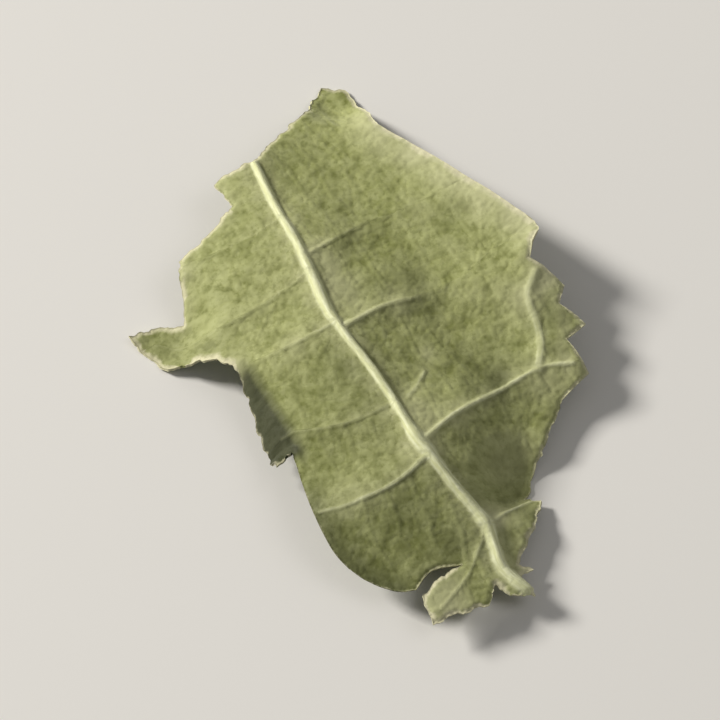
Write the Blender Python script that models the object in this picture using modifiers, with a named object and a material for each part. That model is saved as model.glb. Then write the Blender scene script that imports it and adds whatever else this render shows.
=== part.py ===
"""Torn end piece of a dried linden leaf, lying underside up on three low spots of its edge.

The blade is one thin sheet with a toothed margin on one side and torn edges elsewhere. It bends down
on both sides of the midrib, sags between the side veins, and carries the midrib, the side veins and
the loops that join them as ridges on its upper face, which is the leaf's underside.

The constants are in millimetres, in the leaf's own plan: "across" counts to the right of the midrib
and "along" from the midrib's torn end towards the tip. The mesh is in metres, +X is across, the tip
points to -Y, and the origin is at the middle of the leaf's box, on the surface that it lies on.
"""

import math

import bmesh
import bpy
import numpy as np
from mathutils import Vector, noise
from mathutils.geometry import delaunay_2d_cdt

MM = 0.001

# Driving dimensions
BLADE_THICKNESS = 0.6
ARCH_HEIGHT = 2.6
MESH_SPACING = 0.52
ORIGIN_ACROSS = 0.6
ORIGIN_ALONG = 10.8

# The noise of the torn edges is seeded from the clock unless a seed is set
TEAR_SEED = 7
noise.seed_set(TEAR_SEED)

# Edge of the leaf, clockwise as seen from above, as (across, along)
TORN_TOP = [(0.2, -0.4), (1.7, -1.05), (3.65, -1.95), (5.4, -3.3), (6.4, -2.65), (6.5, -0.7), (6.4, 0.45)]
ROLLED_TOP = [(6.4, 0.45), (7.5, 2.85), (8.45, 5.15), (9.3, 7.25), (9.9, 9.15), (9.3, 9.85)]
TOOTH_SINUSES = [(8.9, 10.3), (9.05, 12.75), (8.45, 14.5), (6.95, 16.8)]
TOOTH_TIPS = [(9.7, 12.05), (9.65, 14.15), (8.6, 16.3)]
TORN_RIGHT = [
    (6.95, 16.8),
    (6.3, 17.4),
    (5.4, 18.15),
    (4.15, 19.15),
    (3.15, 20.1),
    (3.75, 20.6),
    (2.75, 21.7),
]
TORN_TIP = [
    (2.75, 21.7),
    (1.9, 22.45),
    (1.1, 23.1),
    (1.6, 23.6),
    (0.85, 23.7),
    (0.95, 24.85),
    (-0.1, 24.45),
    (-0.45, 23.7),
    (-1.2, 24.45),
    (-1.8, 24.25),
]
FLAP = [(-1.8, 24.25), (-2.65, 24.1), (-3.9, 24.1), (-3.65, 22.65), (-2.7, 22.3), (-1.35, 22.2)]
SPLIT = [(-1.35, 22.2), (-2.7, 21.8), (-3.75, 22.25)]
LEFT_MARGIN = [
    (-3.75, 22.25),
    (-4.6, 21.8),
    (-5.55, 20.55),
    (-6.15, 19.0),
    (-6.15, 17.15),
    (-5.85, 15.45),
    (-5.5, 13.85),
]
LEFT_STRIP = [(-5.5, 13.85), (-6.45, 14.05), (-6.1, 12.15), (-5.8, 10.6), (-5.55, 9.25), (-5.6, 8.8)]
BARB = [
    (-5.6, 8.8),
    (-6.05, 7.75),
    (-6.6, 7.1),
    (-7.95, 6.4),
    (-8.4, 5.2),
    (-8.7, 3.95),
    (-7.15, 4.2),
    (-6.2, 4.85),
]
LEFT_SHOULDER = [
    (-6.2, 4.85),
    (-5.85, 4.2),
    (-5.55, 3.3),
    (-5.15, 2.4),
    (-3.2, 1.9),
    (-1.7, 1.25),
    (-1.9, -0.2),
    (-1.25, -0.45),
    (0.2, -0.4),
]

# Veins, as points from the midrib outwards
MIDRIB = [
    (0.2, -0.2),
    (-0.1, 2.1),
    (-0.25, 5.0),
    (-0.7, 8.25),
    (-0.65, 9.65),
    (-0.4, 13.05),
    (-0.3, 16.45),
    (0.15, 19.0),
    (0.55, 20.75),
    (0.3, 22.1),
    (0.15, 23.2),
    (0.75, 24.65),
]
RIGHT_VEINS = [
    [(-0.25, 5.45), (1.6, 5.15), (3.4, 4.95), (5.05, 5.1), (6.6, 5.15), (8.2, 5.2)],
    [(-0.6, 9.6), (1.55, 9.3), (3.25, 9.45), (5.3, 9.55), (6.85, 9.25), (8.05, 9.0)],
    [(-0.3, 16.4), (0.65, 16.05), (2.05, 15.65), (3.95, 15.35), (6.65, 15.1), (8.15, 15.65)],
    [(0.6, 20.9), (2.45, 20.55), (3.55, 20.45)],
]
LEFT_VEINS = [
    [(-0.15, 3.1), (-1.55, 3.35), (-3.45, 3.15), (-4.9, 2.8)],
    [(-0.4, 6.25), (-2.2, 6.6), (-4.7, 6.6), (-6.45, 6.05), (-7.9, 4.85)],
    [(-0.65, 9.2), (-1.8, 9.25), (-3.35, 9.2), (-5.05, 8.95)],
    [(-0.3, 14.1), (-1.95, 14.05), (-3.5, 13.7), (-5.4, 12.85)],
    [(-0.25, 17.05), (-1.85, 17.5), (-3.45, 17.6), (-4.85, 17.45), (-5.9, 17.1)],
    [(0.6, 20.9), (-0.25, 21.8), (-1.35, 22.8), (-3.25, 23.65)],
]
MARGIN_LOOPS = [
    [(6.65, 15.1), (7.35, 14.15), (7.7, 12.95), (7.95, 11.8), (8.8, 10.95)],
    [(6.85, 9.25), (7.6, 8.1), (8.25, 7.0)],
    [(2.05, 15.65), (3.5, 17.3), (4.8, 18.25)],
    [(-2.2, 6.6), (-3.8, 7.75), (-4.7, 8.7)],
]
MIDRIB_WIDTH, MIDRIB_HEIGHT = 0.62, 0.28
SIDE_VEIN_WIDTH, SIDE_VEIN_HEIGHT = 0.46, 0.15

# How deep the blade sinks before the first side vein of a half and beyond each of them, towards the
# tip, and how far out from the midrib that sink reaches
RIGHT_SINKS = ((0.15, 7.0), (0.24, 3.6), (0.42, 4.0), (0.14, 12.0), (0.06, 12.0))
LEFT_SINKS = ((0.05, 6.0), (0.08, 6.0), (0.12, 6.0), (0.12, 6.0), (0.16, 6.0), (0.10, 12.0), (0.06, 12.0))
# The slope by which the blade turns down towards the tip, from the side vein with this place in its list
TIP_SLOPE_RIGHT, TIP_SLOPE_LEFT = 0.32, 0.29
RIGHT_FOLD, LEFT_FOLD = 2, 4

# Shallow bowls in the two large right panels, as (across, along), radius and depth
BOWLS = [((5.6, 12.9), 2.4, 0.36), ((4.9, 8.1), 2.0, 0.16)]

# The three low spots that the leaf rests on: the barb, the top corner and the right edge by the tip
FEET = [(-7.75, 5.2), (5.75, -2.35), (3.2, 19.4)]
FOOT_RADIUS = 0.42
FOOT_FADES = [3.0, 2.0, 2.0]
CLEARANCE = 0.1


def smooth_step(share):
    share = np.clip(share, 0.0, 1.0)
    return share * share * (3.0 - 2.0 * share)


def curve_through(points, step):
    """Points about one step apart on a smooth curve through the given ones."""
    ends = [np.array(points[0]) * 2 - points[1]], [np.array(points[-1]) * 2 - points[-2]]
    knots = np.vstack([ends[0], points, ends[1]])
    found = []
    for before, start, end, after in zip(knots, knots[1:], knots[2:], knots[3:]):
        count = max(1, round(math.dist(start, end) / step))
        for share in np.arange(count) / count:
            found.append(
                0.5
                * (
                    2 * start
                    + (end - before) * share
                    + (2 * before - 5 * start + 4 * end - after) * share**2
                    + (3 * start - before - 3 * end + after) * share**3
                )
            )
    return found + [np.array(points[-1], float)]


def torn_through(points, step):
    """A ragged line through the given points, pushed about by a noise that is fixed in the plan."""
    found = []
    for start, end in zip(points, points[1:]):
        start, end = np.array(start, float), np.array(end, float)
        count = max(1, round(math.dist(start, end) / step))
        for number in range(count):
            place = start + (end - start) * number / count
            push = noise.noise_vector(Vector((place[0], place[1], 4.0)) * 1.9)
            share = 0.0 if number == 0 else 0.16
            found.append(place + share * np.array(push[:2]))
    return found + [np.array(points[-1], float)]


def teeth_through(start, sinuses, tips, step):
    """A toothed margin: each tooth has a long, nearly straight back up to its tip and a short front."""
    found, place = [], np.array(start, float)
    for sinus, tip in zip(sinuses, tips):
        front = curve_through([place, sinus], step)[:-1]
        sinus, tip = np.array(sinus), np.array(tip)
        outward = np.array([tip[1] - sinus[1], sinus[0] - tip[0]])
        shoulder = sinus + 0.45 * (tip - sinus) + 0.04 * outward
        found += front + curve_through([sinus, shoulder, tip], step)[:-1]
        place = tip
    return found + curve_through([place, sinuses[-1]], step)


def leaf_edge(step):
    """The whole outline as one closed loop of plan points."""
    stretches = [
        torn_through(TORN_TOP, step),
        curve_through(ROLLED_TOP, step),
        teeth_through(ROLLED_TOP[-1], TOOTH_SINUSES, TOOTH_TIPS, step),
        torn_through(TORN_RIGHT, step),
        torn_through(TORN_TIP, step),
        torn_through(FLAP, step),
        curve_through(SPLIT, step),
        curve_through(LEFT_MARGIN, step),
        torn_through(LEFT_STRIP, step),
        torn_through(BARB, step),
        torn_through(LEFT_SHOULDER, step),
    ]
    return np.array([point for stretch in stretches for point in stretch[:-1]])


def distance_to_line(places, line):
    """For each place, its distance to a line of points, and how far along the line that is, from 0 to 1."""
    line = np.asarray(line)
    lengths = np.linalg.norm(np.diff(line, axis=0), axis=1)
    run = np.concatenate([[0.0], np.cumsum(lengths)])
    nearest = np.full(len(places), np.inf)
    share = np.zeros(len(places))
    for number, (start, end) in enumerate(zip(line, line[1:])):
        part = np.clip((places - start) @ (end - start) / lengths[number] ** 2, 0.0, 1.0)
        away = np.linalg.norm(places - start - part[:, None] * (end - start), axis=1)
        closer = away < nearest
        nearest[closer] = away[closer]
        share[closer] = (run[number] + part[closer] * lengths[number]) / run[-1]
    return nearest, share


def midrib_across(along):
    across, at = np.array(MIDRIB).T
    return np.interp(along, at, across)


def distance_to_vein(places, vein):
    return distance_to_line(places, curve_through(vein, 0.4))


def noise_at(places, scale, seed):
    """Smooth noise about from -1 to 1 at each place, with features about 1 / scale mm across."""
    return np.array([noise.noise(Vector((x * scale, y * scale, seed))) for x, y in places])


def vein_levels(across, veins):
    """How far along the leaf each side vein of one half crosses the given across values, vein by vein."""
    levels = []
    for vein in veins:
        across_it, along_it = np.array(sorted(vein)).T
        levels.append(np.interp(across, across_it, along_it))
    return levels


def sink_between(share, depth):
    """The sink between two side veins: deep soon after the first, then climbing slowly to the next."""
    return depth * 2.6 * share * (1.0 - share) * (2.0 - share)


def blade_height(places):
    """Height of the blade's lower face over the floor."""
    across, along = places.T
    off_rib = across - midrib_across(along)
    on_left = np.sqrt(np.minimum(off_rib, 0.0) ** 2 + 0.09) - 0.3
    on_right = np.sqrt(np.maximum(off_rib, 0.0) ** 2 + 0.09) - 0.3
    flatter = smooth_step((along - 7.5) / 5.0)
    tip_half = smooth_step((along - 15.0) / 4.0)
    height = ARCH_HEIGHT - 0.05 * (1.0 - tip_half) * on_left - (0.024 - 0.014 * flatter) * on_left**2
    trough = 1.2 * np.logaddexp(0.0, (on_right - 5.5) / 1.2)
    tip_end = smooth_step((along - 19.5) / 2.0)
    height -= (0.21 - 0.03 * tip_half - 0.10 * tip_end) * on_right - (0.34 - 0.24 * tip_half) * trough
    height -= np.where(along < 9.0, 0.009, 0.002) * (along - 9.0) ** 2
    height -= 0.08 * np.maximum(along - 9.5, 0.0) * smooth_step((across - 2.0) / 3.0) * (1.0 - tip_half)
    strip = 0.3 * np.logaddexp(0.0, (across - 8.3) / 0.3)
    height -= 0.26 * strip * smooth_step((along - 9.5) / 2.0)
    for (middle_across, middle_along), radius, depth in BOWLS:
        away_squared = (across - middle_across) ** 2 + (along - middle_along) ** 2
        height -= depth * np.exp(-away_squared / radius**2)

    by_rib = 1.0 - np.exp(-np.abs(off_rib) / 0.9)
    turns = []
    for half, veins, sinks, fold in (
        (off_rib > 0.0, RIGHT_VEINS, RIGHT_SINKS, RIGHT_FOLD),
        (off_rib <= 0.0, LEFT_VEINS, LEFT_SINKS, LEFT_FOLD),
    ):
        levels = vein_levels(across, veins)
        turns.append(0.3 * np.logaddexp(0.0, (along - levels[fold]) / 0.3))
        levels = [levels[0] - 6.0, *levels, levels[-1] + 5.0]
        for before, after, (depth, reach) in zip(levels, levels[1:], sinks):
            share = np.clip((along - before) / (after - before), 0.0, 1.0)
            faded = 1.0 - smooth_step((np.abs(off_rib) - reach) / 2.5)
            height -= half * by_rib * faded * sink_between(share, depth)
    right_share = smooth_step(0.5 + off_rib / 1.6)
    height -= TIP_SLOPE_RIGHT * turns[0] * right_share + TIP_SLOPE_LEFT * turns[1] * (1.0 - right_share)
    height += 0.22 * 0.3 * np.logaddexp(0.0, (along - 20.4) / 0.3)

    rolled = smooth_step((along - 8.4) / 1.2) * smooth_step((14.0 - along) / 0.8)
    height -= 1.1 * rolled * np.maximum(-5.0 - across, 0.0)
    height += 0.22 * np.exp(-distance_to_line(places, curve_through(MARGIN_LOOPS[0], 0.5))[0] / 1.1)
    from_roll = distance_to_line(places, curve_through(ROLLED_TOP, 0.5))[0]
    height += 0.45 * np.maximum(1.0 - from_roll / 2.2, 0.0) ** 2
    height += 0.10 * noise_at(places, 0.33, 2.0)
    over = height - CLEARANCE
    height = CLEARANCE + 0.5 * (over + np.sqrt(over**2 + 0.03))
    for foot, fade in zip(FEET, FOOT_FADES):
        away = np.linalg.norm(places - foot, axis=1)
        height *= smooth_step((away - FOOT_RADIUS - 0.05) / fade)
    return height


def ridge_height(places):
    """Height of the veins over the blade's upper face."""
    ridge = np.zeros(len(places))
    shapes = [(MIDRIB, MIDRIB_WIDTH, MIDRIB_HEIGHT, 0.35)]
    side_veins = RIGHT_VEINS + LEFT_VEINS + MARGIN_LOOPS
    shapes += [(vein, SIDE_VEIN_WIDTH, SIDE_VEIN_HEIGHT, 0.55) for vein in side_veins]
    for vein, half_width, height, taper in shapes:
        away, share = distance_to_vein(places, vein)
        rise = 0.5 + 0.5 * np.cos(math.pi * np.minimum(away / half_width, 1.0))
        ridge = np.maximum(ridge, height * (1.0 - taper * share) * rise)
    return ridge


def inside(places, loop):
    """Which places lie inside a closed loop, by counting the edges to their right."""
    odd = np.zeros(len(places), bool)
    for (x0, y0), (x1, y1) in zip(loop, np.roll(loop, -1, axis=0)):
        crosses = (y0 > places[:, 1]) != (y1 > places[:, 1])
        at = x0 + (places[:, 1] - y0) * (x1 - x0) / (y1 - y0 if y1 != y0 else 1e-9)
        odd ^= crosses & (places[:, 0] < at)
    return odd


def apart_from(places, others, gap):
    """The places that keep a gap from all the others."""
    keep = np.ones(len(places), bool)
    for other in others:
        keep &= np.linalg.norm(places - other, axis=1) > gap
    return places[keep]


def plan_points(edge):
    """Places inside the outline: the feet, rows along the veins, and an even field between them."""
    ring = [(math.cos(turn), math.sin(turn)) for turn in np.arange(6) * math.tau / 6]
    spokes = [(0.0, 0.0), *ring]
    feet = [np.array(foot) + FOOT_RADIUS * np.array(spoke) for foot in FEET for spoke in spokes]
    placed = apart_from(np.array(feet), edge, 0.12)
    low, high = edge.min(0), edge.max(0)
    rows = np.arange(low[1], high[1], MESH_SPACING * math.sqrt(3) / 2)
    columns = np.arange(low[0], high[0], MESH_SPACING)
    half = MESH_SPACING / 2
    field = np.array([(x + half * (number % 2), y) for number, y in enumerate(rows) for x in columns])
    field = apart_from(field[inside(field, edge)], edge, MESH_SPACING * 0.62)
    rib_rows = (0.0, 0.4 * MIDRIB_WIDTH, -0.4 * MIDRIB_WIDTH, MIDRIB_WIDTH, -MIDRIB_WIDTH)
    side_rows = (0.0, SIDE_VEIN_WIDTH, -SIDE_VEIN_WIDTH)
    side_veins = RIGHT_VEINS + LEFT_VEINS + MARGIN_LOOPS
    for vein, offsets in [(MIDRIB, rib_rows)] + [(vein, side_rows) for vein in side_veins]:
        middle = np.array(curve_through(vein, 0.4))
        side = np.gradient(middle, axis=0)
        side = np.stack([side[:, 1], -side[:, 0]], axis=1) / np.linalg.norm(side, axis=1)[:, None]
        for offset in offsets:
            row = apart_from(middle + offset * side, edge, 0.25)
            row = apart_from(row[inside(row, edge)], placed, 0.2)
            placed = np.vstack([placed, row])
        field = field[distance_to_line(field, middle)[0] > max(offsets) + 0.2]
    return np.vstack([placed, apart_from(field, placed, MESH_SPACING * 0.62)])


def dried_leaf_material():
    material = bpy.data.materials.new("dried_leaf")
    material.use_nodes = True
    shader = material.node_tree.nodes["Principled BSDF"]
    shader.inputs["Base Color"].default_value = (0.29, 0.30, 0.13, 1.0)
    shader.inputs["Roughness"].default_value = 0.75
    shader.inputs["Metallic"].default_value = 0.0
    return material


def leaf_sheet(name):
    """The blade's lower face as an open mesh, with a vertex group that says how thick it is above."""
    edge = leaf_edge(MESH_SPACING * 0.75)
    plan = np.vstack([edge, plan_points(edge)])
    loop = [(number, (number + 1) % len(edge)) for number in range(len(edge))]
    found = delaunay_2d_cdt([Vector(place) for place in plan], loop, [], 1, 1e-6)
    places = np.array([tuple(place) for place in found[0]])
    across, along = places.T
    points = np.stack([across - ORIGIN_ACROSS, ORIGIN_ALONG - along, blade_height(places)], axis=1) * MM

    mesh = bpy.data.meshes.new(name)
    mesh.from_pydata(points.tolist(), [], found[2])
    sheet = bmesh.new()
    sheet.from_mesh(mesh)
    bmesh.ops.recalc_face_normals(sheet, faces=sheet.faces)
    if sum(face.normal.z for face in sheet.faces) < 0:
        bmesh.ops.reverse_faces(sheet, faces=sheet.faces)
    sheet.to_mesh(mesh)
    sheet.free()

    leaf = bpy.data.objects.new(name, mesh)
    most = BLADE_THICKNESS + MIDRIB_HEIGHT
    group = leaf.vertex_groups.new(name="thickness")
    for number, ridge in enumerate(ridge_height(places)):
        group.add([number], (BLADE_THICKNESS + ridge) / most, "REPLACE")
    solidify = leaf.modifiers.new("blade", "SOLIDIFY")
    solidify.thickness = most * MM
    solidify.offset = 1.0
    solidify.vertex_group = group.name
    return leaf


def clear_scene():
    for thing in list(bpy.data.objects):
        bpy.data.objects.remove(thing)


def build():
    clear_scene()
    parts = bpy.data.collections.new("linden_leaf")
    bpy.context.scene.collection.children.link(parts)
    leaf = leaf_sheet("linden_leaf")
    leaf.data.materials.append(dried_leaf_material())
    parts.objects.link(leaf)
    leaf.data.shade_smooth()
    leaf.data.set_sharp_from_angle(angle=math.radians(75))


build()
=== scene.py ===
"""Looks of the torn, dried linden leaf piece.

One finer sheet takes the CAD leaf's place: the same outline and form, a thin blade, and the midrib,
side veins, cross veins and the fine net between them as relief. Its colours come from what the
sheet's own points know: how near a vein or a torn edge they are, and which patch they lie in.

Plan values are in millimetres, as in the part's source: "across" counts to the right of the midrib
and "along" from the midrib's torn end towards the tip.
"""

import math

import bpy
import numpy as np
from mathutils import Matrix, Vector, kdtree, noise
from mathutils.geometry import delaunay_2d_cdt


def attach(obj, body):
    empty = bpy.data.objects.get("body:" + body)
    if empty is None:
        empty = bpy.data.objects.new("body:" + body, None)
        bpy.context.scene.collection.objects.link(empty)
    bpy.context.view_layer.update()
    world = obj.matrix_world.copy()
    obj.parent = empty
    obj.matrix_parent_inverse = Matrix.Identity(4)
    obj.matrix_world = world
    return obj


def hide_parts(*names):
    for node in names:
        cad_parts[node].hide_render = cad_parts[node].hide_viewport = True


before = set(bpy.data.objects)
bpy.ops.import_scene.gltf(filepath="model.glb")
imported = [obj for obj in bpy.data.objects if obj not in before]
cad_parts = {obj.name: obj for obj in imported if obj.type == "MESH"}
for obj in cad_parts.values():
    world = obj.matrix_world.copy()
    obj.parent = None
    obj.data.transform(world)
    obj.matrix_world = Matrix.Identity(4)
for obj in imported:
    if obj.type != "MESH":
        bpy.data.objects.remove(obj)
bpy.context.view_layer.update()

MM = 0.001
ORIGIN_ACROSS, ORIGIN_ALONG = 0.6, 10.8
ARCH_HEIGHT = 2.6

# The noise vectors behind the torn edges and the net of veinlets are seeded from the clock unless a
# seed is set
TEAR_SEED = 7
noise.seed_set(TEAR_SEED)

# Edge of the leaf, clockwise as seen from above, as (across, along). These points and the veins'
# were picked on an enlarged photograph and turned into plan values by a separate program
TORN_TOP = [(0.2, -0.4), (1.7, -1.05), (3.65, -1.95), (5.4, -3.3), (6.4, -2.65), (6.5, -0.7), (6.4, 0.45)]
ROLLED_TOP = [(6.4, 0.45), (7.5, 2.85), (8.45, 5.15), (9.3, 7.25), (9.9, 9.15), (9.3, 9.85)]
TOOTH_SINUSES = [(8.9, 10.3), (9.05, 12.75), (8.45, 14.5), (6.95, 16.8)]
TOOTH_TIPS = [(9.7, 12.05), (9.65, 14.15), (8.6, 16.3)]
TORN_RIGHT = [
    (6.95, 16.8),
    (6.3, 17.4),
    (5.4, 18.15),
    (4.15, 19.15),
    (3.15, 20.1),
    (3.75, 20.6),
    (2.75, 21.7),
]
TORN_TIP = [
    (2.75, 21.7),
    (1.9, 22.45),
    (1.1, 23.1),
    (1.6, 23.6),
    (0.85, 23.7),
    (0.95, 24.85),
    (-0.1, 24.45),
    (-0.45, 23.7),
    (-1.2, 24.45),
    (-1.8, 24.25),
]
FLAP = [(-1.8, 24.25), (-2.65, 24.1), (-3.9, 24.1), (-3.65, 22.65), (-2.7, 22.3), (-1.35, 22.2)]
SPLIT = [(-1.35, 22.2), (-2.7, 21.8), (-3.75, 22.25)]
LEFT_MARGIN = [
    (-3.75, 22.25),
    (-4.6, 21.8),
    (-5.55, 20.55),
    (-6.15, 19.0),
    (-6.15, 17.15),
    (-5.85, 15.45),
    (-5.5, 13.85),
]
LEFT_STRIP = [(-5.5, 13.85), (-6.45, 14.05), (-6.1, 12.15), (-5.8, 10.6), (-5.55, 9.25), (-5.6, 8.8)]
BARB = [
    (-5.6, 8.8),
    (-6.05, 7.75),
    (-6.6, 7.1),
    (-7.95, 6.4),
    (-8.4, 5.2),
    (-8.7, 3.95),
    (-7.15, 4.2),
    (-6.2, 4.85),
]
LEFT_SHOULDER = [
    (-6.2, 4.85),
    (-5.85, 4.2),
    (-5.55, 3.3),
    (-5.15, 2.4),
    (-3.2, 1.9),
    (-1.7, 1.25),
    (-1.9, -0.2),
    (-1.25, -0.45),
    (0.2, -0.4),
]

# Veins, as points from the midrib outwards
MIDRIB = [
    (0.2, -0.2),
    (-0.1, 2.1),
    (-0.25, 5.0),
    (-0.7, 8.25),
    (-0.65, 9.65),
    (-0.4, 13.05),
    (-0.3, 16.45),
    (0.15, 19.0),
    (0.55, 20.75),
    (0.3, 22.1),
    (0.15, 23.2),
    (0.75, 24.65),
]
RIGHT_VEINS = [
    [(-0.25, 5.45), (1.6, 5.15), (3.4, 4.95), (5.05, 5.1), (6.6, 5.15), (8.2, 5.2)],
    [(-0.6, 9.6), (1.55, 9.3), (3.25, 9.45), (5.3, 9.55), (6.85, 9.25), (8.05, 9.0)],
    [(-0.3, 16.4), (0.65, 16.05), (2.05, 15.65), (3.95, 15.35), (6.65, 15.1), (8.15, 15.65)],
    [(0.6, 20.9), (2.45, 20.55), (3.55, 20.45)],
]
LEFT_VEINS = [
    [(-0.15, 3.1), (-1.55, 3.35), (-3.45, 3.15), (-4.9, 2.8)],
    [(-0.4, 6.25), (-2.2, 6.6), (-4.7, 6.6), (-6.45, 6.05), (-7.9, 4.85)],
    [(-0.65, 9.2), (-1.8, 9.25), (-3.35, 9.2), (-5.05, 8.95)],
    [(-0.3, 14.1), (-1.95, 14.05), (-3.5, 13.7), (-5.4, 12.85)],
    [(-0.25, 17.05), (-1.85, 17.5), (-3.45, 17.6), (-4.85, 17.45), (-5.9, 17.1)],
    [(0.6, 20.9), (-0.25, 21.8), (-1.35, 22.8), (-3.25, 23.65)],
]
MARGIN_LOOPS = [
    [(6.65, 15.1), (7.35, 14.15), (7.7, 12.95), (7.95, 11.8), (8.8, 10.95)],
    [(6.85, 9.25), (7.6, 8.1), (8.25, 7.0)],
    [(2.05, 15.65), (3.5, 17.3), (4.8, 18.25)],
    [(-2.2, 6.6), (-3.8, 7.75), (-4.7, 8.7)],
]
# A short stray veinlet that shows pale in the large right panel
STRAY_VEINLET = [(0.4, 14.0), (1.05, 13.65), (1.7, 13.1)]
# How strongly each side vein and loop stands out at its start and at its end, from 0 to 1
RIGHT_VEIN_STRENGTHS = [(0.5, -0.3), (0.95, -0.5), (0.95, 0.75), (0.65, 0.75)]
LEFT_VEIN_STRENGTHS = [(0.2, 0.1), (0.25, 0.25), (0.6, 0.15), (0.35, 0.3), (0.85, 0.55), (0.5, 0.35)]
LOOP_STRENGTHS = [(0.65, 0.55), (0.2, 0.1), (0.2, 0.15), (0.2, 0.15)]
# How deep the blade sinks before the first side vein of a half and beyond each of them, towards the
# tip, and how far out from the midrib that sink reaches
RIGHT_SINKS = ((0.15, 7.0), (0.24, 3.6), (0.42, 4.0), (0.14, 12.0), (0.06, 12.0))
LEFT_SINKS = ((0.05, 6.0), (0.08, 6.0), (0.12, 6.0), (0.12, 6.0), (0.16, 6.0), (0.10, 12.0), (0.06, 12.0))
# The slope by which the blade turns down towards the tip, from the side vein with this place in its list
TIP_SLOPE_RIGHT, TIP_SLOPE_LEFT = 0.32, 0.29
RIGHT_FOLD, LEFT_FOLD = 2, 4

# Shallow bowls in the two large right panels, as (across, along), radius and depth
BOWLS = [((5.6, 12.9), 2.4, 0.36), ((4.9, 8.1), 2.0, 0.16)]

# The three low spots that the leaf rests on: the barb, the top corner and the right edge by the tip
FEET = [(-7.75, 5.2), (5.75, -2.35), (3.2, 19.4)]
FOOT_RADIUS = 0.42
FOOT_FADES = [3.0, 2.0, 2.0]
CLEARANCE = 0.1

# Sizes of the finer sheet
FINE_SPACING = 0.1
EDGE_SPACING = 0.075
THIN_BLADE = 0.2
# The midrib's strengths rise towards the tip, making it wider, higher and paler there; the paler colour is
# a painted highlight that offsets the shade where the tip slopes away from the light.
MIDRIB_HALF_WIDTH, MIDRIB_RISE, MIDRIB_STRENGTHS = 0.25, 0.22, (0.92, 1.08)
SIDE_VEIN_HALF_WIDTH, SIDE_VEIN_RISE = 0.19, 0.085
MIDRIB_ROWS = (0.0, 0.06, 0.12, 0.18, 0.24)
SIDE_VEIN_ROWS = (0.0, 0.07, 0.13, 0.20)
CROSS_VEIN_SPACING, CROSS_VEIN_HALF_WIDTH, CROSS_VEIN_RISE = 1.2, 0.11, 0.014
LOOP_HALF_WIDTH = 0.34
STRAY_HALF_WIDTH, STRAY_STRENGTHS = 0.24, (0.5, 0.65)
NET_CELL, NET_RISE = 0.5, 0.014
ROLL_WIDTH = 2.2
AXIL_WIDTH, AXIL_REACH = 0.9, 4.2
HALO_WIDTH, RIB_HALO_WIDTH, RIB_HALO_STRENGTH = 0.55, 0.8, 1.5
# The step between points along a vein, and the least gap between two of them, from the even field to
# them, and from any point to the edge
VEIN_STEP, VEIN_GAP, FIELD_GAP, EDGE_GAP = 0.09, 0.05, 0.068, 0.055
# How far the sheet lies over the form, and what share of their rise the veins sink into its lower skin
SHEET_LIFT, GROOVE_SHARE = 0.28, 0.35
# How much wider than usual the midrib is, by place along the leaf: it swells where strong side veins
# leave it
RIB_SWELLINGS = [
    (0, 1.0),
    (3, 1.05),
    (7, 1.25),
    (9.3, 1.25),
    (10.6, 0.85),
    (15, 0.95),
    (16.4, 1.9),
    (17.2, 1.6),
    (18.2, 1.3),
    (19.8, 1.35),
    (20.7, 1.9),
    (21.8, 1.4),
    (23.5, 1.7),
    (24.6, 1.7),
]
# Patches painted darker or paler: middle, radius and strength. The darker ones are partly painted shade
# and the paler ones partly painted light, besides the blade's own tones. They were set one by one against
# a map of how much darker or paler than the photograph the render was
SHADE_AND_DARK_PATCHES = [
    ((0.8, -0.4), 1.6, 0.25),
    ((2.4, 3.6), 1.2, 0.18),
    ((2.0, 5.7), 0.7, 0.12),
    ((7.2, 6.0), 0.8, 0.22),
    ((-4.9, 5.6), 1.9, 0.13),
    ((2.2, 4.2), 0.9, 0.14),
    ((-7.4, 6.0), 1.1, 0.32),
    ((6.3, 6.8), 0.9, 0.12),
    ((-6.1, 7.2), 0.9, 0.30),
    ((2.0, 8.5), 0.8, 0.20),
    ((3.7, 8.4), 1.2, 0.44),
    ((3.9, 10.2), 0.8, 0.12),
    ((-1.1, 10.5), 0.8, 0.14),
    ((3.1, 11.4), 0.8, 0.08),
    ((-0.7, 11.7), 0.8, 0.12),
    ((-1.3, 12.2), 1.4, 0.14),
    ((1.8, 12.6), 0.9, 0.24),
    ((5.0, 13.9), 1.5, 0.42),
    ((-1.5, 14.3), 1.2, 0.12),
    ((3.2, 14.6), 0.8, 0.18),
    ((-6.3, 15.8), 0.8, 0.18),
    ((4.3, 14.8), 0.9, 0.34),
    ((7.8, 14.6), 0.5, 0.35),
    ((8.5, 13.1), 0.9, 0.40),
    ((2.2, 16.9), 0.9, 0.15),
    ((-2.3, 18.5), 1.0, 0.20),
    ((-1.0, 21.2), 1.0, 0.38),
    ((-2.6, 21.6), 1.1, 0.26),
    ((2.9, 21.1), 0.9, 0.48),
]
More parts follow.
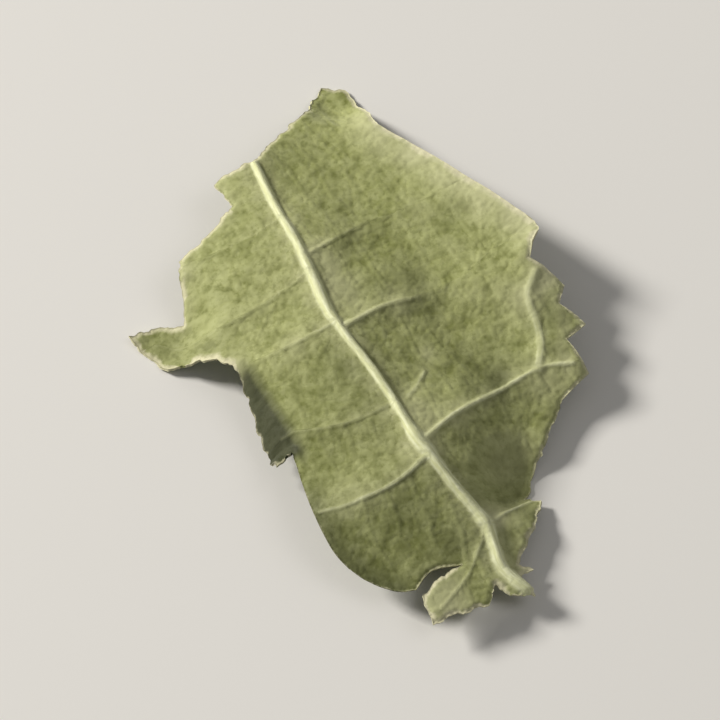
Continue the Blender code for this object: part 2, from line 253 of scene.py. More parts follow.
# The paler patches are partly painted light and partly the blade's own paler tones.
LIT_AND_PALE_PATCHES = [
    ((6.1, 2.4), 1.3, 0.12),
    ((-5.4, 3.0), 0.6, 0.45),
    ((-8.5, 4.3), 0.5, 0.20),
    ((5.6, 5.3), 0.8, 0.16),
    ((0.5, 6.0), 0.8, 0.30),
    ((-5.7, 8.6), 0.5, 0.50),
    ((0.3, 7.7), 1.1, 0.42),
    ((6.2, 8.2), 0.6, 0.15),
    ((9.7, 9.3), 0.5, 0.50),
    ((2.4, 9.4), 0.8, 0.30),
    ((-2.9, 9.4), 0.7, 0.20),
    ((5.7, 10.4), 0.7, 0.12),
    ((7.0, 10.9), 0.6, 0.15),
    ((9.3, 11.1), 0.9, 0.75),
    ((7.8, 11.9), 0.9, 0.38),
    ((9.7, 12.1), 0.5, 0.60),
    ((2.3, 12.2), 0.4, 0.30),
    ((9.7, 14.2), 0.5, 0.60),
    ((0.5, 14.9), 0.9, 0.38),
    ((2.0, 15.4), 0.8, 0.20),
    ((4.2, 18.1), 0.8, 0.22),
    ((6.7, 15.8), 1.1, 0.34),
    ((8.7, 16.2), 0.5, 0.50),
    ((-0.2, 16.6), 0.7, 0.40),
    ((-4.1, 17.3), 1.0, 0.20),
    ((3.0, 18.4), 1.4, 0.32),
    ((1.0, 20.9), 0.6, 0.50),
    ((1.0, 23.6), 0.6, 0.60),
    ((-2.7, 23.6), 0.7, 0.40),
    ((1.5, 20.7), 0.8, 0.26),
    ((1.8, 22.4), 0.9, 0.26),
    ((-2.9, 24.0), 0.7, 0.22),
]


def smooth_step(share):
    share = np.clip(share, 0.0, 1.0)
    return share * share * (3.0 - 2.0 * share)


def curve_through(points, step):
    """Points about one step apart on a smooth curve through the given ones."""
    ends = [np.array(points[0]) * 2 - points[1]], [np.array(points[-1]) * 2 - points[-2]]
    knots = np.vstack([ends[0], points, ends[1]])
    found = []
    for before, start, end, after in zip(knots, knots[1:], knots[2:], knots[3:]):
        count = max(1, round(math.dist(start, end) / step))
        for share in np.arange(count) / count:
            found.append(
                0.5
                * (
                    2 * start
                    + (end - before) * share
                    + (2 * before - 5 * start + 4 * end - after) * share**2
                    + (3 * start - before - 3 * end + after) * share**3
                )
            )
    return found + [np.array(points[-1], float)]


def torn_through(points, step):
    """A ragged line through the given points, pushed about by a noise that is fixed in the plan."""
    found = []
    for start, end in zip(points, points[1:]):
        start, end = np.array(start, float), np.array(end, float)
        count = max(1, round(math.dist(start, end) / step))
        for number in range(count):
            place = start + (end - start) * number / count
            coarse = noise.noise_vector(Vector((place[0], place[1], 4.0)) * 1.9)
            fine = noise.noise_vector(Vector((place[0], place[1], 9.0)) * 5.5)
            inner = min(1.0, 4.0 * min(number, count - number) / count)
            found.append(place + inner * (0.16 * np.array(coarse[:2]) + 0.07 * np.array(fine[:2])))
    return found + [np.array(points[-1], float)]


def teeth_through(start, sinuses, tips, step):
    """A toothed margin: each tooth has a long, nearly straight back up to its tip and a short front."""
    found, place = [], np.array(start, float)
    for sinus, tip in zip(sinuses, tips):
        front = curve_through([place, sinus], step)[:-1]
        sinus, tip = np.array(sinus), np.array(tip)
        outward = np.array([tip[1] - sinus[1], sinus[0] - tip[0]])
        shoulder = sinus + 0.45 * (tip - sinus) + 0.04 * outward
        found += front + curve_through([sinus, shoulder, tip], step)[:-1]
        place = tip
    return found + curve_through([place, sinuses[-1]], step)


def leaf_edge(step):
    """The outline as one closed loop of plan points, and how torn each of them is, from 0 to 1."""
    stretches = [
        (torn_through(TORN_TOP, step), 0.7),
        (curve_through(ROLLED_TOP, step), 1.0),
        (teeth_through(ROLLED_TOP[-1], TOOTH_SINUSES, TOOTH_TIPS, step), 0.6),
        (torn_through(TORN_RIGHT, step), 0.45),
        (torn_through(TORN_TIP, step), 0.9),
        (torn_through(FLAP, step), 0.9),
        (curve_through(SPLIT, step), 0.3),
        (curve_through(LEFT_MARGIN, step), 0.12),
        (torn_through(LEFT_STRIP, step), 0.3),
        (torn_through(BARB, step), 0.9),
        (torn_through(LEFT_SHOULDER, step), 0.9),
    ]
    points = np.array([point for stretch, _ in stretches for point in stretch[:-1]])
    torn = np.array([share for stretch, share in stretches for _ in stretch[:-1]])
    return points, torn


def distance_to_line(places, line):
    """Each place's distance to a line, its side, and how far along it, in mm and from 0 to 1."""
    line = np.asarray(line)
    lengths = np.linalg.norm(np.diff(line, axis=0), axis=1)
    run = np.concatenate([[0.0], np.cumsum(lengths)])
    nearest = np.full(len(places), np.inf)
    side = np.zeros(len(places))
    reach = np.zeros(len(places))
    for number, (start, end) in enumerate(zip(line, line[1:])):
        step = end - start
        offset = places - start
        part = np.clip(offset @ step / lengths[number] ** 2, 0.0, 1.0)
        away = np.linalg.norm(offset - part[:, None] * step, axis=1)
        closer = away < nearest
        nearest[closer] = away[closer]
        turn = step[0] * offset[closer, 1] - step[1] * offset[closer, 0]
        side[closer] = np.sign(turn)
        reach[closer] = run[number] + part[closer] * lengths[number]
    return nearest, side, reach, reach / run[-1]


def midrib_across(along):
    across, at = np.array(MIDRIB).T
    return np.interp(along, at, across)


def noise_at(places, scale, seed):
    """Smooth noise about from -1 to 1 at each place, with features about 1 / scale mm across."""
    return np.array([noise.noise(Vector((x * scale, y * scale, seed))) for x, y in places])


def away_from_feet(places):
    """Distance from each place to the nearest of the spots that the leaf rests on."""
    return np.min([np.linalg.norm(places - foot, axis=1) for foot in FEET], axis=0)


def vein_levels(across, veins):
    """How far along the leaf each side vein of one half crosses the given across values."""
    levels = []
    for vein in veins:
        across_it, along_it = np.array(sorted(vein)).T
        levels.append(np.interp(across, across_it, along_it))
    return levels


def sink_between(share, depth):
    """The sink between two side veins: deep soon after the first, then climbing slowly to the next."""
    return depth * 2.6 * share * (1.0 - share) * (2.0 - share)


def blade_height(places):
    """Height of the blade's lower face over the floor."""
    across, along = places.T
    off_rib = across - midrib_across(along)
    on_left = np.sqrt(np.minimum(off_rib, 0.0) ** 2 + 0.09) - 0.3
    on_right = np.sqrt(np.maximum(off_rib, 0.0) ** 2 + 0.09) - 0.3
    flatter = smooth_step((along - 7.5) / 5.0)
    tip_half = smooth_step((along - 15.0) / 4.0)
    height = ARCH_HEIGHT - 0.05 * (1.0 - tip_half) * on_left - (0.024 - 0.014 * flatter) * on_left**2
    trough = 1.2 * np.logaddexp(0.0, (on_right - 5.5) / 1.2)
    tip_end = smooth_step((along - 19.5) / 2.0)
    height -= (0.21 - 0.03 * tip_half - 0.10 * tip_end) * on_right - (0.34 - 0.24 * tip_half) * trough
    height -= np.where(along < 9.0, 0.009, 0.002) * (along - 9.0) ** 2
    height -= 0.08 * np.maximum(along - 9.5, 0.0) * smooth_step((across - 2.0) / 3.0) * (1.0 - tip_half)
    strip = 0.3 * np.logaddexp(0.0, (across - 8.3) / 0.3)
    height -= 0.26 * strip * smooth_step((along - 9.5) / 2.0)
    for (middle_across, middle_along), radius, depth in BOWLS:
        away_squared = (across - middle_across) ** 2 + (along - middle_along) ** 2
        height -= depth * np.exp(-away_squared / radius**2)

    by_rib = 1.0 - np.exp(-np.abs(off_rib) / 0.9)
    turns = []
    for half, veins, sinks, fold in (
        (off_rib > 0.0, RIGHT_VEINS, RIGHT_SINKS, RIGHT_FOLD),
        (off_rib <= 0.0, LEFT_VEINS, LEFT_SINKS, LEFT_FOLD),
    ):
        levels = vein_levels(across, veins)
        turns.append(0.3 * np.logaddexp(0.0, (along - levels[fold]) / 0.3))
        levels = [levels[0] - 6.0, *levels, levels[-1] + 5.0]
        for before, after, (depth, reach) in zip(levels, levels[1:], sinks):
            share = np.clip((along - before) / (after - before), 0.0, 1.0)
            faded = 1.0 - smooth_step((np.abs(off_rib) - reach) / 2.5)
            height -= half * by_rib * faded * sink_between(share, depth)
    right_share = smooth_step(0.5 + off_rib / 1.6)
    height -= TIP_SLOPE_RIGHT * turns[0] * right_share + TIP_SLOPE_LEFT * turns[1] * (1.0 - right_share)
    height += 0.22 * 0.3 * np.logaddexp(0.0, (along - 20.4) / 0.3)

    rolled = smooth_step((along - 8.4) / 1.2) * smooth_step((14.0 - along) / 0.8)
    height -= 1.1 * rolled * np.maximum(-5.0 - across, 0.0)
    height += 0.22 * np.exp(-distance_to_line(places, curve_through(MARGIN_LOOPS[0], 0.5))[0] / 1.1)
    from_roll = distance_to_line(places, curve_through(ROLLED_TOP, 0.5))[0]
    height += 0.45 * np.maximum(1.0 - from_roll / 2.2, 0.0) ** 2
    height += 0.10 * noise_at(places, 0.33, 2.0)
    over = height - CLEARANCE
    height = CLEARANCE + 0.5 * (over + np.sqrt(over**2 + 0.03))
    for foot, fade in zip(FEET, FOOT_FADES):
        away = np.linalg.norm(places - foot, axis=1)
        height *= smooth_step((away - FOOT_RADIUS - 0.05) / fade)
    return height


def inside(places, loop):
    """Which places lie inside a closed loop, by counting the edges to their right."""
    odd = np.zeros(len(places), bool)
    for (x0, y0), (x1, y1) in zip(loop, np.roll(loop, -1, axis=0)):
        crosses = (y0 > places[:, 1]) != (y1 > places[:, 1])
        at = x0 + (places[:, 1] - y0) * (x1 - x0) / (y1 - y0 if y1 != y0 else 1e-9)
        odd ^= crosses & (places[:, 0] < at)
    return odd


def nearest_of(places, others):
    """For each place, the distance to the nearest of the others and its number."""
    tree = kdtree.KDTree(len(others))
    for number, other in enumerate(others):
        tree.insert((other[0], other[1], 0.0), number)
    tree.balance()
    found = [tree.find((x, y, 0.0)) for x, y in places]
    return np.array([hit[2] for hit in found]), np.array([hit[1] for hit in found])


def plan_points(edge):
    """An even field of places inside the outline, with rows set along the midrib and the side veins."""
    low, high = edge.min(0), edge.max(0)
    rows = np.arange(low[1], high[1], FINE_SPACING * math.sqrt(3) / 2)
    columns = np.arange(low[0], high[0], FINE_SPACING)
    field = []
    for number, y in enumerate(rows):
        shift = FINE_SPACING / 2 * (number % 2)
        field += [(x + shift, y) for x in columns]
    field = np.array(field)
    field = field[inside(field, edge)]
    lines = []
    for vein in [MIDRIB, *RIGHT_VEINS, *LEFT_VEINS, *MARGIN_LOOPS]:
        line = np.array(curve_through(vein, VEIN_STEP))
        step = np.gradient(line, axis=0)
        across_it = np.stack([-step[:, 1], step[:, 0]], axis=1) / np.linalg.norm(step, axis=1)[:, None]
        for offset in MIDRIB_ROWS if vein is MIDRIB else SIDE_VEIN_ROWS:
            lines += [line + offset * across_it, line - offset * across_it] if offset else [line]
    lines = np.vstack(lines)
    lines = lines[inside(lines, edge)]
    kept = []
    tree = kdtree.KDTree(len(lines))
    for number, (x, y) in enumerate(lines):
        tree.insert((x, y, 0.0), number)
    tree.balance()
    dropped = set()
    for number, (x, y) in enumerate(lines):
        if number in dropped:
            continue
        kept.append((x, y))
        dropped.update(hit[1] for hit in tree.find_range((x, y, 0.0), VEIN_GAP) if hit[1] > number)
    placed = np.array(kept)
    field = field[nearest_of(field, placed)[0] > FIELD_GAP]
    every = np.vstack([placed, field])
    return every[nearest_of(every, edge)[0] > EDGE_GAP]


def vein_fields(places):
    """What the veins do at each place: their relief, how far they show, the pale zone beside them, and the
    place across and along the nearest one.
    """
    relief = np.zeros(len(places))
    mask = np.zeros(len(places))
    halo = np.zeros(len(places))
    grain = np.zeros((len(places), 3))
    closest = np.full(len(places), np.inf)
    shapes = [(MIDRIB, MIDRIB_HALF_WIDTH, MIDRIB_RISE, MIDRIB_STRENGTHS)]
    side_veins = RIGHT_VEINS + LEFT_VEINS
    strengths = RIGHT_VEIN_STRENGTHS + LEFT_VEIN_STRENGTHS + LOOP_STRENGTHS
    for vein, strength in zip(side_veins + MARGIN_LOOPS, strengths):
        half_width = LOOP_HALF_WIDTH if vein is MARGIN_LOOPS[0] else SIDE_VEIN_HALF_WIDTH
        shapes.append((vein, half_width, SIDE_VEIN_RISE, strength))
    shapes.append((STRAY_VEINLET, STRAY_HALF_WIDTH, SIDE_VEIN_RISE, STRAY_STRENGTHS))
    for number, (vein, half_width, rise, (first, last)) in enumerate(shapes):
        away, side, reach, share = distance_to_line(places, curve_through(vein, 0.3))
        strength = (first + (last - first) * share).clip(0.0)
        width = half_width * (0.55 + 0.45 * strength) * (1.0 + 0.12 * noise_at(places, 1.3, 20.0 + number))
        if number == 0:
            width = width * np.interp(places[:, 1], *zip(*RIB_SWELLINGS))
        else:
            width = width + 0.10 * np.exp(-reach / 0.4)
        profile = 0.5 + 0.5 * np.cos(math.pi * np.minimum(away / width, 1.0))
        relief = np.maximum(relief, rise * strength * profile)
        shown = strength**0.5 * profile**0.4 if number == 0 else 0.62 * strength * profile**0.8
        mask = np.maximum(mask, shown)
        halo_width = RIB_HALO_WIDTH if number == 0 else HALO_WIDTH
        halo_strength = RIB_HALO_STRENGTH if number == 0 else 1.0
        halo = np.maximum(halo, strength * halo_strength * np.exp(-((away / halo_width) ** 2)))
        nearer = away < closest
        closest[nearer] = away[nearer]
        grain[nearer, 0] = (away * side)[nearer]
        grain[nearer, 1] = reach[nearer] + 40.0 * number
    return relief, mask, halo, grain


def patches_at(places, patches):
    """How strong the given soft-edged patches are at each place."""
    strength = np.zeros(len(places))
    wobble = 0.35 * noise_at(places, 0.9, 61.0)
    for middle, radius, depth in patches:
        away = np.linalg.norm(places - middle, axis=1) / radius + wobble
        strength += depth * np.exp(-(away**2))
    return strength


def pale_axils(places):
    """The paler wedge on the base side of each side vein, where it leaves the midrib, from 0 to 1."""
    wedge = np.zeros(len(places))
    for veins, base_side in ((RIGHT_VEINS, -1.0), (LEFT_VEINS, 1.0)):
        for vein in veins:
            away, side, reach, _ = distance_to_line(places, curve_through(vein, 0.3))
            width = AXIL_WIDTH * np.maximum(1.0 - reach / AXIL_REACH, 0.05)
            fading = (1.0 - reach / AXIL_REACH).clip(0.0)
            wedge = np.maximum(wedge, (side == base_side) * fading * np.exp(-away / width))
    return wedge * (0.8 + 0.5 * noise_at(places, 1.1, 51.0)).clip(0.0, 1.0)


def pale_and_lit_edges(places):
    """How much paler each place is painted: a pale rim on the rolled edge with a wider band that is partly
    a painted highlight, pale teeth and shoulder rim, the flap as a painted highlight, and patches that are
    partly painted light.
    """
    away = distance_to_line(places, curve_through(ROLLED_TOP[:-1], 0.5))[0]
    # The wider band by the rolled edge is partly a painted highlight where the rolled-up edge meets the
    # light.
    wide = 0.52 * (1.0 - smooth_step(away / ROLL_WIDTH))
    rim = 1.0 - smooth_step((away + 0.12 * noise_at(places, 1.4, 41.0) - 0.12) / 0.35)
    rolled = np.maximum(wide * (1.0 + 0.5 * noise_at(places, 0.9, 42.0)), 0.9 * rim)
    teeth = curve_through(ROLLED_TOP[-1:] + TOOTH_SINUSES + TORN_RIGHT[1:-2], 0.5)
    across, along = places.T
    from_teeth = np.where(across > 4.0, distance_to_line(places, teeth)[0], np.inf)
    margin = 0.34 * np.exp(-((from_teeth / 0.5) ** 2)) * (0.8 + 0.6 * noise_at(places, 1.0, 43.0))
    # Painted highlight: the flap is painted paler where it faces the light.
    flap = 0.40 * smooth_step((-1.3 - across) / 1.0) * smooth_step((along - 22.2) / 0.6)
    from_shoulder = distance_to_line(places, curve_through(LEFT_SHOULDER, 0.5))[0]
    shoulder = 0.24 * np.exp(-((from_shoulder / 0.5) ** 2)) * (0.8 + 0.7 * noise_at(places, 0.8, 44.0))
    zones = [rolled, margin, flap, shoulder, patches_at(places, LIT_AND_PALE_PATCHES)]
    return np.maximum.reduce(zones).clip(0.0, 1.0)


def painted_shade_and_dark(places):
    """How much darker each place is painted: painted shade on the folded strip and the lower left margin,
    a slightly darker lower left half, and patches that are partly painted shade.
    """
    across, along = places.T
    # Painted shade: the strip folded down on the left is painted nearly black, as though in shadow.
    strip = smooth_step((-4.68 - across) / 0.6)
    strip = strip * smooth_step((along - 8.4) / 1.0) * smooth_step((14.6 - along) / 0.9)
    # Painted shade along the lower left margin, growing towards the tip.
    from_margin = distance_to_line(places, curve_through(LEFT_MARGIN[1:], 0.5))[0]
    margin = 0.55 * np.exp(-((from_margin / 0.9) ** 2)) * smooth_step((along - 14.5) / 3.0)
    # The lower left half is painted a little darker.
    left_middle = 0.13 * smooth_step((-0.6 - across) / 1.2) * smooth_step((along - 8.0) / 3.0)
    shaded = np.maximum(strip, margin) + left_middle
    return np.clip(shaded + patches_at(places, SHADE_AND_DARK_PATCHES), 0.0, 1.0)


def panel_number(places):
    """Which panel between side veins each place is in, counted along the leaf, on the left from 100."""
    across, along = places.T
    right = across > midrib_across(along)
    on_right = sum(along > level for level in vein_levels(across, RIGHT_VEINS))
    on_left = sum(along > level for level in vein_levels(across, LEFT_VEINS))
    return np.where(right, on_right, on_left + 100.0)


def cross_veins(places, panel):
    """The ladder of thin veins that run from one side vein to the next, as a mask from 0 to 1."""
    across, along = places.T
    sway = 0.42 * noise_at(places, 0.45, 31.0) + 0.13 * noise_at(places, 1.6, 32.0)
    lean = 0.10 * along * np.where(panel >= 100.0, 1.0, -1.0)
    shift = np.modf(panel * 0.618)[0] * CROSS_VEIN_SPACING
    phase = (across + sway + lean + shift) / CROSS_VEIN_SPACING
    away = np.abs(phase - np.round(phase)) * CROSS_VEIN_SPACING
    fade = smooth_step(0.75 + 0.9 * noise_at(places, 0.5, 33.0))
    return fade * (0.5 + 0.5 * np.cos(math.pi * np.minimum(away / CROSS_VEIN_HALF_WIDTH, 1.0)))


def net_of_cells(places, cell, seed):
    """The fine net of veinlets: 1 on the walls of irregular cells, 0 in their middles."""
    walls = np.empty(len(places))
    for number, (x, y) in enumerate(places):
        warp = noise.noise_vector(Vector((x * 0.9, y * 0.9, seed))) * 0.35
        near = noise.voronoi(Vector(((x + warp[0]) / cell, (y + warp[1]) / cell, seed)))[0]
        walls[number] = near[1] - near[0]
    return 1.0 - smooth_step(walls / 0.32)


def vertex_normals(points, faces):
    """The unit normal at each point, averaged over its faces."""
    corners = points[faces]
    normals = np.cross(corners[:, 1] - corners[:, 0], corners[:, 2] - corners[:, 0])
    found = np.zeros_like(points)
    for corner in range(3):
        np.add.at(found, faces[:, corner], normals)
    return found / np.linalg.norm(found, axis=1)[:, None]


def add_values(mesh, name, values):
    """Stores one number, or three, at each vertex."""
    values = np.asarray(values, np.float32)
    if values.ndim == 1:
        mesh.attributes.new(name, "FLOAT", "POINT").data.foreach_set("value", values)
    else:
        mesh.attributes.new(name, "FLOAT_VECTOR", "POINT").data.foreach_set("vector", values.ravel())


def leaf_mesh():
    """The closed sheet: a lower skin, an upper skin with its veins, and a rough rim between them."""
    edge, edge_torn = leaf_edge(EDGE_SPACING)
    plan = np.vstack([edge, plan_points(edge)])
    loop = [(number, (number + 1) % len(edge)) for number in range(len(edge))]
    found = delaunay_2d_cdt([Vector(place) for place in plan], loop, [], 1, 1e-6)
    places = np.array([tuple(place) for place in found[0]])
    faces = np.array(found[2])
    turn = places[faces]
    clockwise = np.cross(turn[:, 1] - turn[:, 0], turn[:, 2] - turn[:, 0]) > 0
    faces[clockwise] = faces[clockwise][:, ::-1]

    relief, vein_mask, halo, grain = vein_fields(places)
    panel = panel_number(places)
    ladder = cross_veins(places, panel) * (1.0 - vein_mask)
    net = net_of_cells(places, NET_CELL, 3.0) * (1.0 - vein_mask)
    to_edge, edge_number = nearest_of(places, edge)
    torn = edge_torn[np.minimum(edge_number, len(edge) - 1)]
    free = smooth_step((away_from_feet(places) - FOOT_RADIUS) / 2.0)

    low = blade_height(places)
    crinkle = 0.045 * noise_at(places, 0.55, 7.0) + 0.04 * noise_at(places, 1.2, 8.0)
    crinkle += 0.022 * ladder + 0.012 * net
    low = np.maximum(low + free * (SHEET_LIFT + crinkle), 0.0)
    across, along = places.T
    lower = np.stack([across - ORIGIN_ACROSS, ORIGIN_ALONG - along, low], axis=1)
    normals = vertex_normals(lower, faces)

    thick = THIN_BLADE * (0.55 + 0.45 * smooth_step(to_edge / 0.2))
    thick = thick + relief * smooth_step(to_edge / 0.12 + 0.25)
    thick += CROSS_VEIN_RISE * ladder + NET_RISE * net
    upper = lower + normals * thick[:, None]
    groove = GROOVE_SHARE * relief * free
    lower = lower + normals * groove[:, None]
    lower[:, 2] = np.maximum(lower[:, 2], 0.0)

    count = len(edge)
    rim = 0.5 * (lower[:count] + upper[:count])
    outward = np.roll(edge, -1, axis=0) - np.roll(edge, 1, axis=0)
    outward = np.stack([-outward[:, 1], -outward[:, 0]], axis=1) / np.linalg.norm(outward, axis=1)[:, None]
    push = 0.02 + 0.05 * edge_torn * np.abs(noise_at(edge, 7.0, 12.0))
    rim[:, :2] += push[:, None] * outward
    total = len(places)
    ring = np.arange(count)
    after = (ring + 1) % count
    below, above, middle = ring, total + ring, 2 * total + ring
    rim_faces = np.vstack(
        [
            np.stack([below, below[after], middle[after]], axis=1),
            np.stack([below, middle[after], middle], axis=1),
            np.stack([middle, middle[after], above[after]], axis=1),
            np.stack([middle, above[after], above], axis=1),
        ]
    )
    points = np.vstack([lower, upper, rim]) * MM
    skins = [faces[:, ::-1], faces + total, rim_faces]

    mesh = bpy.data.meshes.new("leaf_sheet")
    mesh.from_pydata(points.tolist(), [], np.vstack(skins).tolist())
    slots = np.concatenate([np.ones(len(faces)), np.zeros(len(faces) + len(rim_faces))])
    mesh.polygons.foreach_set("material_index", slots.astype(np.int32))
    spread = np.concatenate([np.arange(total), np.arange(total), np.arange(count)])
    plan_place = np.stack([across, along, panel], axis=1)
    axils = 0.65 * pale_axils(places)
    beside_veins = 0.34 * halo * (0.8 + 0.6 * noise_at(places, 1.2, 52.0))
    for name, values in (
        ("vein", vein_mask),
        ("ladder", ladder),
        ("net", net),
        ("to_edge", to_edge),
        ("torn", torn),
        ("grain", grain),
        ("plan", plan_place),
        ("pale", np.maximum(axils, beside_veins)),
        ("pale_lit_share", pale_and_lit_edges(places)),
        ("shade_and_dark", painted_shade_and_dark(places)),
    ):
        add_values(mesh, name, values[spread])
    mesh.update()
    mesh.validate()
    return mesh


class Nodes:
    """Short calls for building one material's node tree."""

    def __init__(self, name):
        self.material = bpy.data.materials.new(name)
        self.material.use_nodes = True
        self.tree = self.material.node_tree
        self.shader = self.tree.nodes["Principled BSDF"]

    def link(self, source, target):
        if isinstance(source, (int, float)):
            target.default_value = source
        elif isinstance(source, tuple):
            target.default_value = (*source, 1.0)[: len(target.default_value)]
        else:
            self.tree.links.new(source, target)

    def value(self, name):
        node = self.tree.nodes.new("ShaderNodeAttribute")
        node.attribute_name = name
        return node.outputs["Fac"]

    def vector(self, name):
        node = self.tree.nodes.new("ShaderNodeAttribute")
        node.attribute_name = name
        return node.outputs["Vector"]

    def math(self, operation, first, second=0.0, clamp=False):
        node = self.tree.nodes.new("ShaderNodeMath")
        node.operation = operation
        node.use_clamp = clamp
        self.link(first, node.inputs[0])
        self.link(second, node.inputs[1])
        return node.outputs[0]

    def along_of(self, source):
        """How far along the leaf a plan place is."""
        node = self.tree.nodes.new("ShaderNodeSeparateXYZ")
        self.link(source, node.inputs[0])
        return node.outputs["Y"]

    def span(self, source, low, high, to_low=0.0, to_high=1.0):
        """source from low to high, made to_low to to_high with a smooth middle."""
        node = self.tree.nodes.new("ShaderNodeMapRange")
        node.interpolation_type = "SMOOTHSTEP"
        for socket, number in zip(node.inputs[1:5], (low, high, to_low, to_high)):
            socket.default_value = number
        self.link(source, node.inputs[0])
        return node.outputs[0]

    def mix(self, share, first, second):
        node = self.tree.nodes.new("ShaderNodeMix")
        node.data_type = "RGBA"
        self.link(share, node.inputs["Factor"])
        self.link(first, node.inputs[6])
        self.link(second, node.inputs[7])
        return node.outputs[2]

    def noise(self, place, scale, detail=3.0, roughness=0.55, stretch=None):
        if stretch is not None:
            mapping = self.tree.nodes.new("ShaderNodeMapping")
            mapping.inputs["Scale"].default_value = stretch
            self.link(place, mapping.inputs["Vector"])
            place = mapping.outputs["Vector"]
        node = self.tree.nodes.new("ShaderNodeTexNoise")
        node.inputs["Scale"].default_value = scale
        node.inputs["Detail"].default_value = detail
        node.inputs["Roughness"].default_value = roughness
        self.link(place, node.inputs["Vector"])
        return node.outputs["Fac"]

    def cells(self, place, scale):
        node = self.tree.nodes.new("ShaderNodeTexVoronoi")
        node.feature = "DISTANCE_TO_EDGE"
        node.inputs["Scale"].default_value = scale
        self.link(place, node.inputs["Vector"])
        return node.outputs["Distance"]

    def bump(self, height, strength, distance, normal=None):
        node = self.tree.nodes.new("ShaderNodeBump")
        node.inputs["Strength"].default_value = strength
        node.inputs["Distance"].default_value = distance
        self.link(height, node.inputs["Height"])
        if normal is not None:
            self.link(normal, node.inputs["Normal"])
        return node.outputs["Normal"]


def leaf_material(name, colours, cell_bump, rib_show):
    """The dried blade's surface. The two skins share it and differ in their colours and relief."""
    n = Nodes(name)
    plan = n.vector("plan")
    keys = ("vein", "ladder", "net", "to_edge", "torn")
    vein, ladder, net, to_edge, torn = (n.value(key) for key in keys)

    patches = n.noise(plan, 0.28, 2.0)
    mottle = n.noise(plan, 1.0, 4.0, 0.62)
    speckle = n.noise(plan, 3.6, 3.0, 0.7)
    cells = n.cells(plan, 2.7)
    tipward = n.span(n.along_of(plan), 11.0, 21.0)
    blade = n.mix(n.span(patches, 0.36, 0.64), colours["dark"], colours["light"])
    # Darker towards the tip: partly the leaf's own colour and partly painted shade of the tip half, which
    # turns away from the light.
    blade = n.mix(n.math("MULTIPLY", tipward, 0.35), blade, colours["deep"])
    blotches = n.noise(plan, 1.7, 2.0, 0.5)
    blade = n.mix(n.math("MULTIPLY", n.span(mottle, 0.42, 0.64), 0.48), blade, colours["net"])
    blade = n.mix(n.math("MULTIPLY", n.span(blotches, 0.51, 0.67), 0.62), blade, colours["net"])
    blade = n.mix(n.math("MULTIPLY", n.span(blotches, 0.49, 0.31), 0.62), blade, colours["deep"])
    blade = n.mix(n.value("pale"), blade, colours["pale_lit_tone"])
    blade = n.mix(n.math("MULTIPLY", n.span(speckle, 0.46, 0.70), 0.50), blade, colours["deep"])
    blade = n.mix(n.math("MULTIPLY", net, 0.22), blade, colours["net"])
    blade = n.mix(n.math("MULTIPLY", ladder, 0.16), blade, colours["net"])

    # Painted shade: the folded strip, the lower left margin and the darker patches are mixed towards the
    # shade colour.
    blade = n.mix(n.math("MULTIPLY", n.value("shade_and_dark"), 0.9), blade, colours["shade"])
    # Partly painted light: the pale tone on the rolled edge's wider band, the flap and the paler patches
    # stands partly for light falling there; on the rim, teeth and shoulder it is the pale dried edge.
    blade = n.mix(n.value("pale_lit_share"), blade, colours["pale_lit_tone"])

    streak = n.noise(n.vector("grain"), 1.0, 3.0, 0.6, (9.0, 0.9, 1.0))
    rib = n.mix(n.span(streak, 0.35, 0.7), colours["rib_shade"], colours["rib"])
    blade = n.mix(n.math("MULTIPLY", n.span(vein, 0.04, 0.80), rib_show), blade, rib)

    ragged = n.math("ADD", to_edge, n.math("MULTIPLY", n.math("SUBTRACT", speckle, 0.5), 0.30))
    here = n.span(n.noise(plan, 0.9, 2.0), 0.38, 0.60)
    reach = n.math("ADD", 0.02, n.math("MULTIPLY", n.math("MULTIPLY", torn, here), 0.36))
    rim = n.math("SUBTRACT", 1.0, n.math("DIVIDE", ragged, reach), clamp=True)
    pale = n.math("MULTIPLY", n.span(rim, 0.0, 0.9), n.math("ADD", 0.25, torn, clamp=True))
    blade = n.mix(n.math("MULTIPLY", pale, 0.75), blade, colours["edge"])

    n.link(blade, n.shader.inputs["Base Color"])
    roughness = n.span(speckle, 0.3, 0.7, 0.62, 0.78)
    n.link(roughness, n.shader.inputs["Roughness"])
    n.shader.inputs["Specular IOR Level"].default_value = 0.32
    n.shader.inputs["Sheen Weight"].default_value = 0.10
    n.shader.inputs["Sheen Roughness"].default_value = 0.5

    fine = n.noise(plan, 22.0, 3.0, 0.6)
    normal = n.bump(cells, 0.42 * cell_bump, 0.00005)
    normal = n.bump(fine, 0.45, 0.00002, normal)
    normal = n.bump(n.math("MULTIPLY", streak, vein), 0.6, 0.00006, normal)
    n.link(normal, n.shader.inputs["Normal"])
    return n.material


def linear(red, green, blue):
    """A colour given as 0 to 255, as the shader's linear numbers."""
    found = []
    for channel in (red, green, blue):
        share = channel / 255
        found.append(share / 12.92 if share <= 0.04045 else ((share + 0.055) / 1.055) ** 2.4)
    return tuple(found)


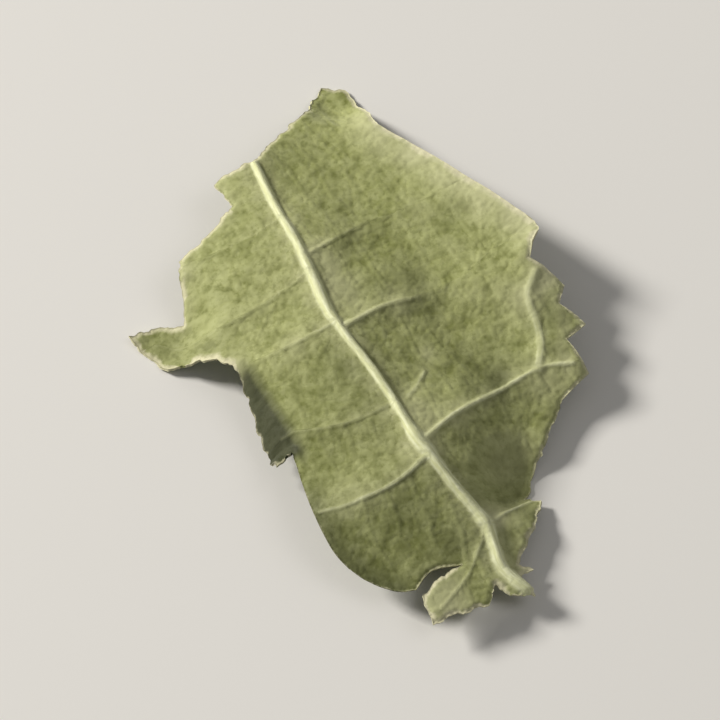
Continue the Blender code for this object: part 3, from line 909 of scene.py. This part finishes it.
UNDERSIDE_COLOURS = {
    "light": linear(165, 170, 109),
    "dark": linear(143, 149, 87),
    "deep": linear(109, 115, 50),
    "net": linear(179, 184, 126),
    "rib": linear(240, 243, 204),
    "rib_shade": linear(219, 222, 170),
    "edge": linear(224, 219, 186),
    "pale_lit_tone": linear(206, 206, 164),
    # Painted shade: the near-black colour of the folded strip and the shaded margin.
    "shade": linear(34, 38, 17),
}
UPPER_SIDE_COLOURS = {
    "light": linear(128, 138, 84),
    "dark": linear(98, 110, 62),
    "deep": linear(76, 86, 46),
    "net": linear(112, 120, 70),
    "rib": linear(176, 174, 118),
    "rib_shade": linear(146, 146, 92),
    "edge": linear(204, 197, 160),
    "pale_lit_tone": linear(168, 166, 118),
    # The same painted shade, milder on this face.
    "shade": linear(90, 98, 58),
}


def build_leaf():
    mesh = leaf_mesh()
    mesh.materials.append(leaf_material("dried_underside", UNDERSIDE_COLOURS, 1.0, 1.0))
    mesh.materials.append(leaf_material("dried_upper_side", UPPER_SIDE_COLOURS, 0.4, 0.6))
    leaf = bpy.data.objects.new("leaf_blade", mesh)
    bpy.context.scene.collection.objects.link(leaf)
    mesh.shade_smooth()
    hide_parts("linden_leaf")
    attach(leaf, "root")


FLOOR_HALF, FLOOR_LEVEL = 0.6, -0.00002


def build_floor():
    mesh = bpy.data.meshes.new("floor")
    signs = ((-1, -1), (1, -1), (1, 1), (-1, 1))
    corners = [(x * FLOOR_HALF, y * FLOOR_HALF, FLOOR_LEVEL) for x, y in signs]
    mesh.from_pydata(corners, [], [(0, 1, 2, 3)])
    floor = bpy.data.objects.new("floor", mesh)
    bpy.context.scene.collection.objects.link(floor)
    n = Nodes("pale_floor")
    n.shader.inputs["Base Color"].default_value = (0.84, 0.83, 0.81, 1.0)
    n.shader.inputs["Roughness"].default_value = 0.6
    mesh.materials.append(n.material)


def add_light(name, place, size, power, colour, target):
    light = bpy.data.lights.new(name, "AREA")
    light.size = size
    light.energy = power
    light.color = colour
    lamp = bpy.data.objects.new(name, light)
    lamp.location = place
    lamp.rotation_euler = (Vector(target) - Vector(place)).to_track_quat("-Z", "Y").to_euler()
    bpy.context.scene.collection.objects.link(lamp)


CAMERA_AZIMUTH, CAMERA_ELEVATION = math.radians(-29), math.radians(62)
CAMERA_DISTANCE = 0.5
FRAME_HEIGHT = 0.033
AIM = Vector((-0.8 * MM, 0.2 * MM, 1.2 * MM))


def build_camera():
    back = Vector(
        (
            math.sin(CAMERA_AZIMUTH) * math.cos(CAMERA_ELEVATION),
            -math.cos(CAMERA_AZIMUTH) * math.cos(CAMERA_ELEVATION),
            math.sin(CAMERA_ELEVATION),
        )
    )
    data = bpy.data.cameras.new("camera")
    data.angle = 2 * math.atan(0.5 * FRAME_HEIGHT / CAMERA_DISTANCE)
    data.clip_start = 0.01
    data.clip_end = 20
    camera = bpy.data.objects.new("camera", data)
    camera.location = AIM + CAMERA_DISTANCE * back
    camera.rotation_euler = back.to_track_quat("Z", "Y").to_euler()
    bpy.context.scene.collection.objects.link(camera)
    bpy.context.scene.camera = camera


def build_lights():
    world = bpy.data.worlds.new("studio")
    world.use_nodes = True
    sky = world.node_tree.nodes["Background"]
    sky.inputs["Color"].default_value = (1.0, 0.98, 0.94, 1.0)
    sky.inputs["Strength"].default_value = 0.17
    scene = bpy.context.scene
    scene.world = world
    scene.view_settings.view_transform = "Standard"
    add_light("key", (-0.32, 0.41, 0.30), 0.14, 4.3, (1.0, 0.965, 0.90), (0, 0, 0))
    add_light("fill", (0.35, -0.20, 0.60), 0.4, 0.5, (1.0, 0.98, 0.95), (0, 0, 0))


build_camera()
build_lights()
build_floor()
build_leaf()
